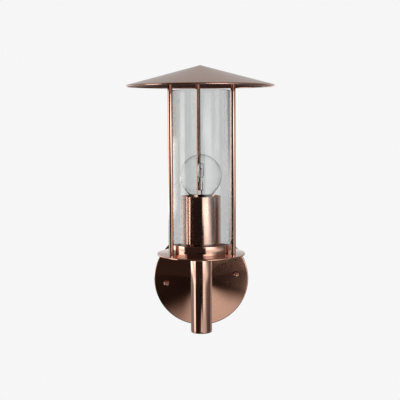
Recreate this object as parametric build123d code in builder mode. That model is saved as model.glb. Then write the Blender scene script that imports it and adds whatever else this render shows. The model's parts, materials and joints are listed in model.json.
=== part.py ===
from build123d import *

import os
from math import atan, cos, hypot, pi, radians, sin, tan

# Outdoor wall light: a round wall plate and a short arm carry an upright post. A base disc on the
# post holds a lampholder in its cup, a glass cylinder in a ring, and three rods under a conical hat.
# Millimetres, +Z up. The origin is the centre of the wall bracket on the wall, and the lamp stands
# out towards -Y. Distances from the wall are called depths and run along -Y.

# Driving dimensions: wall side
reach = 115.0
plate_diameter = 135.0
plate_depth = 19.5
plate_rise = 4.0
plate_sheet = 1.2
plate_edge_radius = 1.5
gasket_thickness = 2.5
gasket_width = 6.0
gasket_inset = 1.0
bracket_thickness = 2.0
bracket_corner = 6.0
wall_screw_spacing = 70.0
wall_slot_length = 10.0
wall_slot_width = 5.0
stud_edge = 17.0
stud_turn = 7.5
stud_diameter = 4.0
stud_margin = 5.5
washer_diameter = 7.8
washer_thickness = 0.8
cap_nut_flats = 7.0
cap_nut_height = 8.0
cap_nut_base = 3.2
cap_nut_dome = 6.4
cap_nut_bore_depth = 5.4
stud_tip_gap = 0.5
cable_bore = 9.0
grommet_wall = 2.5
grommet_flange = 2.0
grommet_flange_thickness = 1.5
strap_width = 34.0
strap_edge = 19.5
strap_thickness = 2.0

# Driving dimensions: terminal block, earth point and leads
block_length = 32.0
block_width = 16.0
block_height = 12.0
block_drop = 25.0
block_rounding = 0.8
pole_spacing = 10.0
pole_screw_diameter = 3.0
pole_screw_length = 6.0
pole_screw_spacing = 9.0
pole_screw_sink = 1.0
small_screw_diameter = 3.0
small_screw_head = 5.5
small_screw_head_height = 2.0
earth_rise = 23.0
earth_screw_diameter = 4.0
earth_screw_head = 8.0
earth_screw_head_height = 2.6
tag_diameter = 9.0
tag_thickness = 0.8
tag_neck = 10.0
tag_neck_width = 4.0
lead_diameter = 2.4
lead_lift = 5.0
lead_spread = 1.8
block_exit = 4.8
holder_exit = 3.6

# Driving dimensions: arm and post
arm_diameter = 22.0
arm_wall = 1.5
arm_tail = 2.0
way_margin = 1.5
post_diameter = 28.0
post_wall = 1.5
post_rise = 50.7
post_drop = 53.8
post_cap_thickness = 2.4
post_cap_rounding = 1.2
post_cap_spigot = 6.0
plug_length = 10.0
nipple_diameter = 10.0
nipple_wall = 1.2
nipple_tail = 5.0
nipple_nut_flats = 14.0
nipple_nut_thickness = 3.0

# Driving dimensions: base disc, glass, rods and hat
disc_diameter = 116.0
disc_thickness = 2.0
disc_edge_radius = 0.6
ring_wall = 1.5
ring_height = 13.4
ring_edge_radius = 0.4
seat_thickness = 2.0
seat_width = 4.5
glass_diameter = 78.0
glass_wall = 2.6
glass_length = 211.5
glass_edge_radius = 0.9
rod_diameter = 6.5
rod_ring_gap = 2.25
rod_turn = 4.0
rod_screw_diameter = 4.0
rod_screw_length = 10.0
rod_screw_head = 7.0
rod_screw_head_height = 2.2
bush_diameter = 12.0
bush_length = 9.0
rod_entry = 6.0
hat_diameter = 193.5
hat_rise = 25.7
hat_lip = 2.1
hat_edge_radius = 1.5
hat_sheet = 1.2
hat_gap = 4.3

# Driving dimensions: lampholder and bulb
cup_diameter = 52.5
cup_height = 76.4
cup_wall = 1.0
cup_base = 1.2
holder_diameter = 40.0
holder_sink = 1.5
holder_wall = 1.8
holder_overlap = 6.0
holder_boss_diameter = 14.0
holder_boss_height = 5.0
holder_wiring_room = 20.0
holder_shoulder = 2.0
contact_block_thickness = 5.0
contact_rise = 1.4
contact_strip = 0.5
contact_width = 6.0
contact_reach = 6.0
contact_flat = 4.0
contact_slope = 2.0
holder_terminal_size = 5.0
holder_terminal_height = 3.5
holder_terminal_place = 9.0
screw_shell_wall = 0.5
screw_shell_length = 26.0
bulb_seat = 32.6
bulb_length = 97.0
bulb_diameter = 55.0
bulb_glass_wall = 0.8
bulb_shoulder = 40.0
bulb_cap_diameter = 26.0
bulb_cap_height = 22.0
bulb_cap_wall = 0.5
bulb_cap_mouth = 9.0
bulb_insulator_height = 2.0
bulb_insulator_tip = 6.0
bulb_pip_diameter = 9.0
bulb_pip_height = 1.5
stem_radius = 4.0
stem_flare_height = 9.0
stem_rim = 1.0
capsule_diameter = 8.4
capsule_wall = 0.8
capsule_length = 19.0
capsule_drop = 11.0
pinch_width = 7.0
pinch_thickness = 2.6
pinch_height = 6.0
support_wire = 0.9
support_spread = 2.4
support_length = 9.5
filament_wire = 0.6
filament_spread = 1.4
filament_height = 12.0
filament_bend = 1.1

# Named clearances
fit_gap = 0.05
hole_gap = 0.25
glass_gap = 0.5
bulb_gap = 0.3
contact_gap = 0.3

# Shares: of a wall for the rounding of its edge, and of a lead's run for the arc at its end
rounding_share = 1 / 3
arc_share = 0.45

# Radii and depths that follow from them
plate_radius = plate_diameter / 2
plate_front = gasket_thickness + plate_depth
plate_slope = plate_rise / plate_radius
gasket_outer = plate_radius - gasket_inset
stud_radius = plate_radius - stud_edge
stud_x = stud_radius * cos(radians(stud_turn))
stud_z = stud_radius * sin(radians(stud_turn))
bracket_length = 2 * (stud_radius + stud_margin)
bracket_width = 2 * (stud_z + stud_margin)
stud_hole = stud_diameter / 2 + fit_gap
grommet_radius = cable_bore / 2 + grommet_wall
arm_radius = arm_diameter / 2
arm_bore = arm_radius - arm_wall
block_z = -(arm_radius + block_drop)
earth_z = arm_radius + earth_rise
post_radius = post_diameter / 2
post_bore = post_radius - post_wall
post_cap_top = post_cap_thickness - post_drop

# Heights on the lamp axis that follow from them
plug_bottom = post_rise - plug_length
nipple_bottom = plug_bottom - nipple_tail
nipple_radius = nipple_diameter / 2
nipple_bore = nipple_radius - nipple_wall
disc_top = post_rise + disc_thickness
cup_floor = disc_top + cup_base
cup_top = disc_top + cup_height
cup_radius = cup_diameter / 2
glass_radius = glass_diameter / 2
glass_bottom = disc_top + seat_thickness
glass_top = glass_bottom + glass_length
ring_inner = glass_radius + glass_gap
ring_outer = ring_inner + ring_wall
rod_radius = rod_diameter / 2
rod_circle = ring_outer + rod_ring_gap + rod_radius
hat_radius = hat_diameter / 2
hat_slope = atan(hat_rise / hat_radius)
lip_bottom = glass_top + hat_gap
lip_top = lip_bottom + hat_lip
hat_top = lip_top + hat_rise
hat_sheet_rise = hat_sheet / cos(hat_slope)
holder_radius = holder_diameter / 2
bulb_bottom = disc_top + bulb_seat
block_top = bulb_bottom - contact_gap - contact_rise
block_bottom = block_top - contact_block_thickness
boss_bottom = block_bottom - holder_wiring_room
boss_top = boss_bottom + holder_boss_height
dome_radius = holder_radius - holder_wall
dome_top = block_top + holder_overlap
nipple_top = boss_top
bulb_cap_bottom = bulb_bottom + bulb_pip_height + bulb_insulator_height
bulb_cap_top = bulb_cap_bottom + bulb_cap_height
bulb_cap_radius = bulb_cap_diameter / 2
screw_shell_inner = bulb_cap_radius + bulb_gap
screw_shell_outer = screw_shell_inner + screw_shell_wall
neck_radius = bulb_cap_radius - bulb_cap_wall - fit_gap
bulb_radius = bulb_diameter / 2
bulb_top = bulb_bottom + bulb_length
bulb_centre = bulb_top - bulb_radius
shoulder = radians(bulb_shoulder)
shoulder_radius = bulb_radius * cos(shoulder)
shoulder_height = bulb_centre - bulb_radius * sin(shoulder)
neck_top = shoulder_height - (shoulder_radius - neck_radius) / tan(shoulder)
holder_top = neck_top - holder_sink
capsule_radius = capsule_diameter / 2
capsule_top = bulb_top - capsule_drop
capsule_bottom = capsule_top - capsule_length
pinch_bottom = capsule_bottom - pinch_height
stem_top = pinch_bottom - support_length

# The lamp axis, the upright plane through it, and level planes centred on it
lamp_axis = Axis((0, -reach, 0), (0, 0, 1))
lamp_section = Plane(origin=(0, -reach, 0), x_dir=(1, 0, 0), z_dir=(0, -1, 0))


def level(height):
    """Level plane at this height, centred on the lamp axis."""
    return Plane(origin=(0, -reach, height), z_dir=(0, 0, 1))


def depth(distance):
    """Upright plane parallel to the wall, at this distance from it, facing out."""
    return Plane.XZ.offset(distance)


def plate_face(radius):
    """Depth of the plate's coned front at this distance from its centre."""
    return plate_front - radius * plate_slope


def hat_underside(radius):
    """Height of the inner face of the cone at this distance from the lamp axis."""
    return hat_top - hat_sheet_rise - radius * tan(hat_slope)


def rod_place(i):
    """Place of rod i in plan: evenly round the lamp from the wall side, all turned a little."""
    turned = pi + 2 * pi * i / len(rod_names) + radians(rod_turn)
    return rod_circle * sin(turned), -reach - rod_circle * cos(turned)


def keep(piece, name):
    """Label a finished piece and write it to its own file."""
    piece.part.label = name
    export_step(piece.part, f"parts/{name}.step")


def tube(piece_plane, outer, inner, length):
    """Ring of two radii, extruded from its plane into the part in hand."""
    with BuildSketch(piece_plane) as ring:
        Circle(outer)
        Circle(inner, mode=Mode.SUBTRACT)
    extrude(ring.sketch, amount=length)


def turned_profile(points, mode=Mode.ADD):
    """Closed outline of radius and height, revolved about the lamp axis."""
    with BuildSketch(lamp_section) as section:
        with BuildLine():
            Polyline(*points, close=True)
        make_face()
    revolve(section.sketch, axis=lamp_axis, mode=mode)


os.makedirs("parts", exist_ok=True)

# Depths that follow from the cone of the plate: the washers seat on it, and the strap's corners under it
washer_back = plate_face(stud_radius - washer_diameter / 2)
washer_front = washer_back + washer_thickness
stud_end = washer_front + cap_nut_bore_depth - stud_tip_gap
strap_length = 2 * (plate_radius - strap_edge)
strap_reach = bracket_corner + hypot(strap_length / 2 - bracket_corner, strap_width / 2 - bracket_corner)
strap_back = plate_face(strap_reach) - plate_sheet - strap_thickness
arm_start = strap_back - arm_tail
block_back = strap_back - block_height

stud_places = [(-stud_x, -stud_z), (stud_x, stud_z)]

# Wall gasket: flat rubber ring between the wall and the rim of the plate
with BuildPart() as wall_gasket:
    tube(depth(0), gasket_outer, gasket_outer - gasket_width, gasket_thickness)
keep(wall_gasket, "wall_gasket")

# Wall bracket: steel strip with two slots for the wall screws, an inlet and two stud holes
with BuildPart() as wall_bracket:
    with BuildSketch(depth(0)):
        RectangleRounded(bracket_length, bracket_width, bracket_corner)
        with GridLocations(wall_screw_spacing, 0, 2, 1):
            SlotOverall(wall_slot_length, wall_slot_width, mode=Mode.SUBTRACT)
        Circle(grommet_radius + fit_gap, mode=Mode.SUBTRACT)
        with Locations(*stud_places):
            Circle(stud_hole, mode=Mode.SUBTRACT)
    extrude(amount=bracket_thickness)
keep(wall_bracket, "wall_bracket")

# Bracket studs: two threaded studs, flush with the back of the strip
with BuildPart() as bracket_studs:
    with BuildSketch(depth(0)):
        with Locations(*stud_places):
            Circle(stud_diameter / 2)
    extrude(amount=stud_end)
keep(bracket_studs, "bracket_studs")

# Cable grommet: rubber bush in the inlet of the bracket
with BuildPart() as cable_grommet:
    tube(depth(0), grommet_radius, cable_bore / 2, bracket_thickness)
    tube(depth(bracket_thickness), grommet_radius + grommet_flange, cable_bore / 2,
         grommet_flange_thickness)
keep(cable_grommet, "cable_grommet")

# Wall plate: spun dish, open to the wall, with a shallow cone for its front
with BuildPart() as wall_plate:
    for skin, mode in ((0, Mode.ADD), (plate_sheet, Mode.SUBTRACT)):
        side = plate_radius - skin
        with BuildSketch(Plane.XY) as section:
            with BuildLine():
                Polyline((0, -gasket_thickness), (side, -gasket_thickness),
                         (side, skin - plate_face(side)), (0, skin - plate_face(0)), close=True)
            make_face()
            rim = section.vertices().sort_by_distance((side, skin - plate_face(side)))[0]
            fillet(rim, plate_edge_radius - skin)
        revolve(section.sketch, axis=Axis.Y, mode=mode)
    with BuildSketch(depth(gasket_thickness)):
        Circle(arm_radius + fit_gap)
        with Locations(*stud_places):
            Circle(stud_diameter / 2 + hole_gap)
    extrude(amount=plate_depth, mode=Mode.SUBTRACT)
keep(wall_plate, "wall_plate")

# Stud washers: two small seals under the cap nuts
with BuildPart() as stud_washers:
    with BuildSketch(depth(washer_back)):
        with Locations(*stud_places):
            Circle(washer_diameter / 2)
            Circle(stud_hole, mode=Mode.SUBTRACT)
    extrude(amount=washer_thickness)
keep(stud_washers, "stud_washers")

# Cap nuts: a hexagon, a short collar and a round dome over a blind bore
with BuildPart() as cap_nuts:
    with BuildSketch(depth(washer_front)):
        with Locations(*stud_places):
            RegularPolygon(cap_nut_flats / 2, 6, major_radius=False)
    extrude(amount=cap_nut_base)
    collar_end = washer_front + cap_nut_height - cap_nut_dome / 2
    with BuildSketch(depth(washer_front + cap_nut_base)):
        with Locations(*stud_places):
            Circle(cap_nut_dome / 2)
    extrude(amount=collar_end - washer_front - cap_nut_base)
    with Locations(*[(x, -collar_end, z) for x, z in stud_places]):
        Sphere(cap_nut_dome / 2)
    with BuildSketch(depth(washer_front)):
        with Locations(*stud_places):
            Circle(stud_hole)
    extrude(amount=cap_nut_bore_depth, mode=Mode.SUBTRACT)
keep(cap_nuts, "cap_nuts")

# Backing strap: steel strip inside the plate that stiffens it and carries the terminal block
block_screw_place = (pole_spacing / 2, block_z)
with BuildPart() as backing_strap:
    with BuildSketch(depth(strap_back)):
        RectangleRounded(strap_width, strap_length, bracket_corner)
        Circle(arm_radius + fit_gap, mode=Mode.SUBTRACT)
        with Locations(block_screw_place):
            Circle(small_screw_diameter / 2 + fit_gap, mode=Mode.SUBTRACT)
        with Locations((0, earth_z)):
            Circle(earth_screw_diameter / 2 + fit_gap, mode=Mode.SUBTRACT)
    extrude(amount=strap_thickness)
keep(backing_strap, "backing_strap")

# Terminal block: three poles, each with two clamping screws, on the back of the strap
pole_places = [((i - 1) * pole_spacing, block_z + side * pole_screw_spacing / 2)
               for i in range(3) for side in (-1, 1)]
with BuildPart() as terminal_block:
    with BuildSketch(depth(block_back)):
        with Locations((0, block_z)):
            Rectangle(block_length, block_width)
    extrude(amount=block_height)
    fillet(terminal_block.faces().sort_by(Axis.Y)[-1].edges(), block_rounding)
    with BuildSketch(depth(block_back)):
        with Locations(*pole_places):
            Circle(pole_screw_diameter / 2 + fit_gap)
    extrude(amount=pole_screw_sink + pole_screw_length, mode=Mode.SUBTRACT)
    with BuildSketch(depth(block_back)):
        with Locations(block_screw_place):
            Circle(small_screw_diameter / 2 + fit_gap)
    extrude(amount=block_height, mode=Mode.SUBTRACT)
keep(terminal_block, "terminal_block")

# Terminal screws: six clamping screws sunk in the block
with BuildPart() as terminal_screws:
    with BuildSketch(depth(block_back + pole_screw_sink)):
        with Locations(*pole_places):
            Circle(pole_screw_diameter / 2)
    extrude(amount=pole_screw_length)
keep(terminal_screws, "terminal_screws")

# Block screw: holds the terminal block to the strap
with BuildPart() as block_screw:
    with BuildSketch(depth(block_back - small_screw_head_height)):
        with Locations(block_screw_place):
            Circle(small_screw_head / 2)
    extrude(amount=small_screw_head_height)
    with BuildSketch(depth(block_back)):
        with Locations(block_screw_place):
            Circle(small_screw_diameter / 2)
    extrude(amount=block_height + strap_thickness)
keep(block_screw, "block_screw")

# Earth tag: ring tongue under the earth screw, with a neck for the lead
tag_back = strap_back - tag_thickness
tag_end = earth_z - tag_diameter / 2 - tag_neck
with BuildPart() as earth_tag:
    with BuildSketch(depth(tag_back)):
        with Locations((0, earth_z)):
            Circle(tag_diameter / 2)
        with Locations((0, (earth_z + tag_end) / 2)):
            Rectangle(tag_neck_width, earth_z - tag_end)
        with Locations((0, earth_z)):
            Circle(earth_screw_diameter / 2 + fit_gap, mode=Mode.SUBTRACT)
    extrude(amount=tag_thickness)
keep(earth_tag, "earth_tag")

# Earth screw: clamps the tag to the strap
with BuildPart() as earth_screw:
    with BuildSketch(depth(tag_back - earth_screw_head_height)):
        with Locations((0, earth_z)):
            Circle(earth_screw_head / 2)
    extrude(amount=earth_screw_head_height)
    with BuildSketch(depth(tag_back)):
        with Locations((0, earth_z)):
            Circle(earth_screw_diameter / 2)
    extrude(amount=tag_thickness + strap_thickness)
keep(earth_screw, "earth_screw")

# Arm: level tube from the plate to the post, its end shaped to sit against the post
with BuildPart() as arm:
    tube(depth(arm_start), arm_radius, arm_bore, reach - arm_start)
    with BuildSketch(level(-arm_diameter)):
        Circle(post_radius + fit_gap)
    extrude(amount=2 * arm_diameter, mode=Mode.SUBTRACT)
keep(arm, "arm")

# Post: upright tube with a way for the leads in its rear wall
with BuildPart() as post:
    tube(level(post_cap_top), post_radius, post_bore, post_rise - post_cap_top)
    with BuildSketch(depth(reach - post_diameter)):
        Circle(arm_bore - way_margin)
    extrude(amount=post_diameter, mode=Mode.SUBTRACT)
keep(post, "post")

# Post cap: plug with a rounded rim that closes the foot of the post
with BuildPart() as post_cap:
    with BuildSketch(level(-post_drop)):
        Circle(post_radius)
    extrude(amount=post_cap_thickness)
    fillet(post_cap.faces().sort_by(Axis.Z)[0].edges(), post_cap_rounding)
    with BuildSketch(level(post_cap_top)):
        Circle(post_bore - fit_gap)
    extrude(amount=post_cap_spigot)
keep(post_cap, "post_cap")

# Post plug: turned plug in the head of the post, bored for the nipple
with BuildPart() as post_plug:
    tube(level(plug_bottom), post_bore - fit_gap, nipple_radius + fit_gap, plug_length)
keep(post_plug, "post_plug")

# Nipple: hollow threaded tube that ties post, disc, cup and lampholder together
with BuildPart() as nipple:
    tube(level(nipple_bottom), nipple_radius, nipple_bore, nipple_top - nipple_bottom)
keep(nipple, "nipple")

# Nipple nuts: one below the plug and one on the floor of the cup
with BuildPart() as nipple_nuts:
    for nut_bottom in (plug_bottom - nipple_nut_thickness, cup_floor):
        with BuildSketch(level(nut_bottom)):
            RegularPolygon(nipple_nut_flats / 2, 6, major_radius=False)
            Circle(nipple_radius + fit_gap, mode=Mode.SUBTRACT)
        extrude(amount=nipple_nut_thickness)
keep(nipple_nuts, "nipple_nuts")

rod_names = ("rod_rear", "rod_front_left", "rod_front_right")
rod_places = {name: rod_place(i) for i, name in enumerate(rod_names)}

# Base disc: flat round plate with a centre hole and three rod screw holes
with BuildPart() as base_disc:
    with BuildSketch(level(post_rise)):
        Circle(disc_diameter / 2)
    extrude(amount=disc_thickness)
    fillet(base_disc.edges(), disc_edge_radius)
    with BuildSketch(Plane.XY.offset(post_rise)):
        with Locations((0, -reach)):
            Circle(nipple_radius + fit_gap)
        with Locations(*rod_places.values()):
            Circle(rod_screw_diameter / 2 + hole_gap)
    extrude(amount=disc_thickness, mode=Mode.SUBTRACT)
keep(base_disc, "base_disc")

# Glass ring: low band on the disc that keeps the glass in place
with BuildPart() as glass_ring:
    tube(level(disc_top), ring_outer, ring_inner, ring_height)
    fillet(glass_ring.faces().sort_by(Axis.Z)[-1].edges(), ring_edge_radius)
keep(glass_ring, "glass_ring")

# Seat gasket: soft ring under the glass
with BuildPart() as seat_gasket:
    tube(level(disc_top), glass_radius, glass_radius - seat_width, seat_thickness)
keep(seat_gasket, "seat_gasket")

# Glass cylinder: open tube with melted edges
with BuildPart() as glass_cylinder:
    tube(level(glass_bottom), glass_radius, glass_radius - glass_wall, glass_length)
    fillet(glass_cylinder.edges().filter_by(GeomType.CIRCLE), glass_edge_radius)
keep(glass_cylinder, "glass_cylinder")

# Rods: three upright rods, tapped at the foot, each in its own file
for name, (rod_x, rod_y) in rod_places.items():
    rod_top = hat_underside(rod_circle) - bush_length + rod_entry
    with BuildPart() as rod:
        with BuildSketch(Plane(origin=(rod_x, rod_y, disc_top))):
            Circle(rod_radius)
        extrude(amount=rod_top - disc_top)
        with BuildSketch(Plane(origin=(rod_x, rod_y, disc_top))):
            Circle(rod_screw_diameter / 2 + fit_gap)
        extrude(amount=rod_screw_length, mode=Mode.SUBTRACT)
    keep(rod, name)

# Rod screws: three pan heads under the disc, screwed up into the rods
with BuildPart() as rod_screws:
    with BuildSketch(Plane.XY.offset(post_rise - rod_screw_head_height)):
        with Locations(*rod_places.values()):
            Circle(rod_screw_head / 2)
    extrude(amount=rod_screw_head_height)
    fillet(rod_screws.faces().group_by(Axis.Z)[0].edges(), rod_screw_head_height * rounding_share)
    with BuildSketch(Plane.XY.offset(post_rise)):
        with Locations(*rod_places.values()):
            Circle(rod_screw_diameter / 2)
    extrude(amount=rod_screw_length)
keep(rod_screws, "rod_screws")

# Hat bushes: three short bushes brazed under the cone, bored for the rods
with BuildPart() as hat_bushes:
    bush_bottom = hat_underside(rod_circle) - bush_length
    with BuildSketch(Plane.XY.offset(bush_bottom)):
        with Locations(*rod_places.values()):
            Circle(bush_diameter / 2)
    extrude(amount=hat_top - bush_bottom)
    turned_profile([(0, hat_underside(0) - fit_gap), (hat_radius, hat_underside(hat_radius) - fit_gap),
                    (hat_radius, hat_top + hat_rise), (0, hat_top + hat_rise)], mode=Mode.SUBTRACT)
    with BuildSketch(Plane.XY.offset(bush_bottom)):
        with Locations(*rod_places.values()):
            Circle(rod_radius + fit_gap)
    extrude(amount=rod_entry + fit_gap, mode=Mode.SUBTRACT)
keep(hat_bushes, "hat_bushes")

# Hat: spun cone with a short turned-down lip
with BuildPart() as hat:
    lip_inner = hat_radius - hat_sheet
    turned_profile([(0, hat_top), (hat_radius, lip_top), (hat_radius, lip_bottom),
                    (lip_inner, lip_bottom), (lip_inner, hat_underside(lip_inner)),
                    (0, hat_underside(0))])
    rim = hat.edges().filter_by(GeomType.CIRCLE).filter_by_position(Axis.Z, lip_top, lip_top)
    fillet(rim, hat_edge_radius)
keep(hat, "hat")

# Lampholder cup: drawn cup that stands on the disc around the lampholder
with BuildPart() as lampholder_cup:
    with BuildSketch(level(disc_top)):
        Circle(cup_radius)
        Circle(nipple_radius + fit_gap, mode=Mode.SUBTRACT)
    extrude(amount=cup_base)
    tube(level(disc_top), cup_radius, cup_radius - cup_wall, cup_height)
    fillet(lampholder_cup.faces().sort_by(Axis.Z)[-1].edges(), cup_wall * rounding_share)
keep(lampholder_cup, "lampholder_cup")

# Holder dome: lower shell of the lampholder, screwed on the nipple by its boss
with BuildPart() as holder_dome:
    boss_radius = holder_boss_diameter / 2
    dome_side = dome_radius - holder_wall
    turned_profile([(nipple_radius + fit_gap, boss_bottom), (boss_radius, boss_bottom),
                    (boss_radius, boss_top - holder_wall),
                    (dome_radius, boss_top - holder_wall + holder_shoulder),
                    (dome_radius, dome_top), (dome_side, dome_top),
                    (dome_side, boss_top + holder_shoulder), (boss_radius, boss_top),
                    (nipple_radius + fit_gap, boss_top)])
keep(holder_dome, "holder_dome")

# Contact block: ceramic disc inside the dome that carries the contacts
with BuildPart() as contact_block:
    with BuildSketch(level(block_bottom)):
        Circle(dome_radius - holder_wall - fit_gap)
    extrude(amount=contact_block_thickness)
keep(contact_block, "contact_block")

# Holder skirt: outer sleeve over the dome and around the screw shell
with BuildPart() as holder_skirt:
    turned_profile([(dome_radius + fit_gap, block_bottom), (holder_radius, block_bottom),
                    (holder_radius, holder_top), (screw_shell_outer + fit_gap, holder_top),
                    (screw_shell_outer + fit_gap, dome_top + fit_gap),
                    (dome_radius + fit_gap, dome_top + fit_gap)])
    fillet(holder_skirt.faces().sort_by(Axis.Z)[-1].edges(), holder_wall * rounding_share)
keep(holder_skirt, "holder_skirt")

# Screw shell: thin threaded sleeve that takes the cap of the bulb
with BuildPart() as screw_shell:
    tube(level(block_top), screw_shell_outer, screw_shell_inner, screw_shell_length)
keep(screw_shell, "screw_shell")

# Centre contact: springy strip with a raised flat under the bulb
with BuildPart() as centre_contact:
    contact_top = block_top + contact_rise
    flat_start = contact_reach - contact_flat
    slope_start = flat_start - contact_slope
    contact_side = Plane(origin=(0, -reach + contact_width / 2, 0), x_dir=(1, 0, 0), z_dir=(0, -1, 0))
    with BuildSketch(contact_side):
        with BuildLine():
            Polyline((-contact_reach, block_top), (slope_start, block_top),
                     (flat_start, contact_top - contact_strip),
                     (contact_reach, contact_top - contact_strip), (contact_reach, contact_top),
                     (flat_start - contact_strip, contact_top),
                     (slope_start - contact_strip, block_top + contact_strip),
                     (-contact_reach, block_top + contact_strip), close=True)
        make_face()
    extrude(amount=contact_width)
keep(centre_contact, "centre_contact")

# Holder terminals: two brass blocks under the contact block
terminal_bottom = block_bottom - holder_terminal_height
with BuildPart() as holder_terminals:
    with BuildSketch(level(terminal_bottom)):
        with GridLocations(2 * holder_terminal_place, 0, 2, 1):
            Rectangle(holder_terminal_size, holder_terminal_size)
    extrude(amount=holder_terminal_height)
keep(holder_terminals, "holder_terminals")


def bulb_solid(skin, mode=Mode.ADD):
    """Outer form of the bulb glass, drawn in from its face by skin: a ball on a tapered neck."""
    radius = bulb_radius - skin
    neck = neck_radius - skin
    touch = (radius * cos(shoulder), bulb_centre - radius * sin(shoulder))
    bend = (neck, touch[1] - (touch[0] - neck) / tan(shoulder))
    foot = bulb_cap_bottom + bulb_cap_wall + fit_gap
    with BuildSketch(lamp_section) as section:
        with BuildLine():
            CenterArc((0, bulb_centre), radius, 90, -90 - bulb_shoulder)
            Polyline(touch, bend, (neck, foot), (0, foot), (0, bulb_centre + radius))
        make_face()
        fillet(section.vertices().sort_by_distance(bend)[0], neck_radius)
    revolve(section.sketch, axis=lamp_axis, mode=mode)


# Bulb glass: clear envelope, open at the neck inside the cap
with BuildPart() as bulb_glass:
    bulb_solid(0)
    bulb_solid(bulb_glass_wall, mode=Mode.SUBTRACT)
keep(bulb_glass, "bulb_glass")

# Bulb cap: thin shell around the neck, drawn in at its foot
with BuildPart() as bulb_cap:
    cap_inner = bulb_cap_radius - bulb_cap_wall
    turned_profile([(bulb_cap_mouth, bulb_cap_bottom), (bulb_cap_radius, bulb_cap_bottom),
                    (bulb_cap_radius, bulb_cap_top), (cap_inner, bulb_cap_top),
                    (cap_inner, bulb_cap_bottom + bulb_cap_wall),
                    (bulb_cap_mouth, bulb_cap_bottom + bulb_cap_wall)])
keep(bulb_cap, "bulb_cap")

# Cap insulator: black glass cone under the cap
insulator_bottom = bulb_cap_bottom - bulb_insulator_height
with BuildPart() as cap_insulator:
    turned_profile([(0, insulator_bottom), (bulb_insulator_tip, insulator_bottom),
                    (bulb_cap_mouth + bulb_insulator_height, bulb_cap_bottom), (0, bulb_cap_bottom)])
keep(cap_insulator, "cap_insulator")

# Contact pip: rounded centre contact of the bulb
with BuildPart() as contact_pip:
    with BuildSketch(level(bulb_bottom)):
        Circle(bulb_pip_diameter / 2)
    extrude(amount=bulb_pip_height)
    fillet(contact_pip.faces().sort_by(Axis.Z)[0].edges(), bulb_pip_height / 2)
keep(contact_pip, "contact_pip")

# Bulb stem: glass trumpet inside the neck that carries the wires
with BuildPart() as bulb_stem:
    stem_foot = neck_radius - bulb_glass_wall - fit_gap
    turned_profile([(0, bulb_cap_top), (stem_foot, bulb_cap_top), (stem_foot, bulb_cap_top + stem_rim),
                    (stem_radius, bulb_cap_top + stem_flare_height), (stem_radius, stem_top),
                    (0, stem_top)])
keep(bulb_stem, "bulb_stem")

# Support wires: two stiff wires from the stem to the pinch of the capsule
with BuildPart() as support_wires:
    with BuildSketch(level(stem_top)):
        with GridLocations(2 * support_spread, 0, 2, 1):
            Circle(support_wire / 2)
    extrude(amount=pinch_bottom - stem_top)
keep(support_wires, "support_wires")

# Capsule pinch: flattened quartz foot of the capsule
with BuildPart() as capsule_pinch:
    with BuildSketch(level(pinch_bottom)):
        RectangleRounded(pinch_width, pinch_thickness, pinch_thickness * rounding_share)
    extrude(amount=pinch_height)
keep(capsule_pinch, "capsule_pinch")

# Halogen capsule: small quartz tube with a domed top, standing on its pinch
with BuildPart() as halogen_capsule:
    for radius, mode in ((capsule_radius, Mode.ADD), (capsule_radius - capsule_wall, Mode.SUBTRACT)):
        dome_height = capsule_top - capsule_radius
        with BuildSketch(level(capsule_bottom)):
            Circle(radius)
        extrude(amount=dome_height - capsule_bottom, mode=mode)
        with Locations((0, -reach, dome_height)):
            Sphere(radius, mode=mode)
keep(halogen_capsule, "halogen_capsule")

# Filament: bent wire standing in the capsule
with BuildPart() as filament:
    filament_top = capsule_bottom + filament_height
    with BuildLine(lamp_section):
        route = FilletPolyline((-filament_spread, capsule_bottom), (-filament_spread, filament_top),
                               (filament_spread, filament_top), (filament_spread, capsule_bottom),
                               radius=filament_bend)
    with BuildSketch(Plane(origin=route @ 0, z_dir=route % 0)):
        Circle(filament_wire / 2)
    sweep(path=route)
keep(filament, "filament")


def turn_radii(points, room):
    """Radius for each corner of a lead: 0.45 of its shorter run, where the room beside it allows."""
    corners = [Vector(*point) for point in points]
    radii = []
    for before, corner, after in zip(corners, corners[1:], corners[2:]):
        arriving = corner - before
        leaving = after - corner
        half_turn = radians(arriving.get_angle(leaving)) / 2
        shorter = min(arriving.length, leaving.length)
        radii.append(min(arc_share * shorter / tan(half_turn), room))
    return radii


def lead_tube(points, room):
    """Insulated lead along its corner points, swept into the part in hand. Returns its length."""
    radii = turn_radii(points, room)
    with BuildLine() as route:
        FilletPolyline(*points, radius=radii)
    path = route.wires()[0]
    with BuildSketch(Plane(origin=path @ 0, z_dir=path % 0)) as section:
        Circle(lead_diameter / 2)
    sweep(section.sketch, path=path)
    return path.length


# Live and neutral leads: from the block through arm, post and nipple to the lampholder
lead_depth = block_back + lead_lift
block_edge = block_z + block_width / 2
lead_height = -arm_bore / 2
post_room = post_bore - lead_diameter
for name, side in (("live_lead", -1), ("neutral_lead", 1)):
    pole_x = side * pole_spacing
    bore_x = side * lead_spread
    terminal_x = side * holder_terminal_place
    corner_points = [(pole_x, -lead_depth, block_edge),
                     (pole_x, -lead_depth, block_edge + block_exit),
                     (2 * bore_x, -lead_depth, lead_height),
                     (bore_x, -reach, lead_height),
                     (bore_x, -reach, boss_top + lead_diameter / 2),
                     (terminal_x, -reach, terminal_bottom - holder_exit),
                     (terminal_x, -reach, terminal_bottom)]
    with BuildPart() as lead:
        length = lead_tube(corner_points, post_room)
    keep(lead, name)
    drawn = lead.part.volume / (pi * lead_diameter ** 2 / 4 * length)
    print(name, "length", round(length, 1), "volume over section times length", round(drawn, 4),
          "radii", [round(radius, 1) for radius in turn_radii(corner_points, post_room)])

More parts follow.
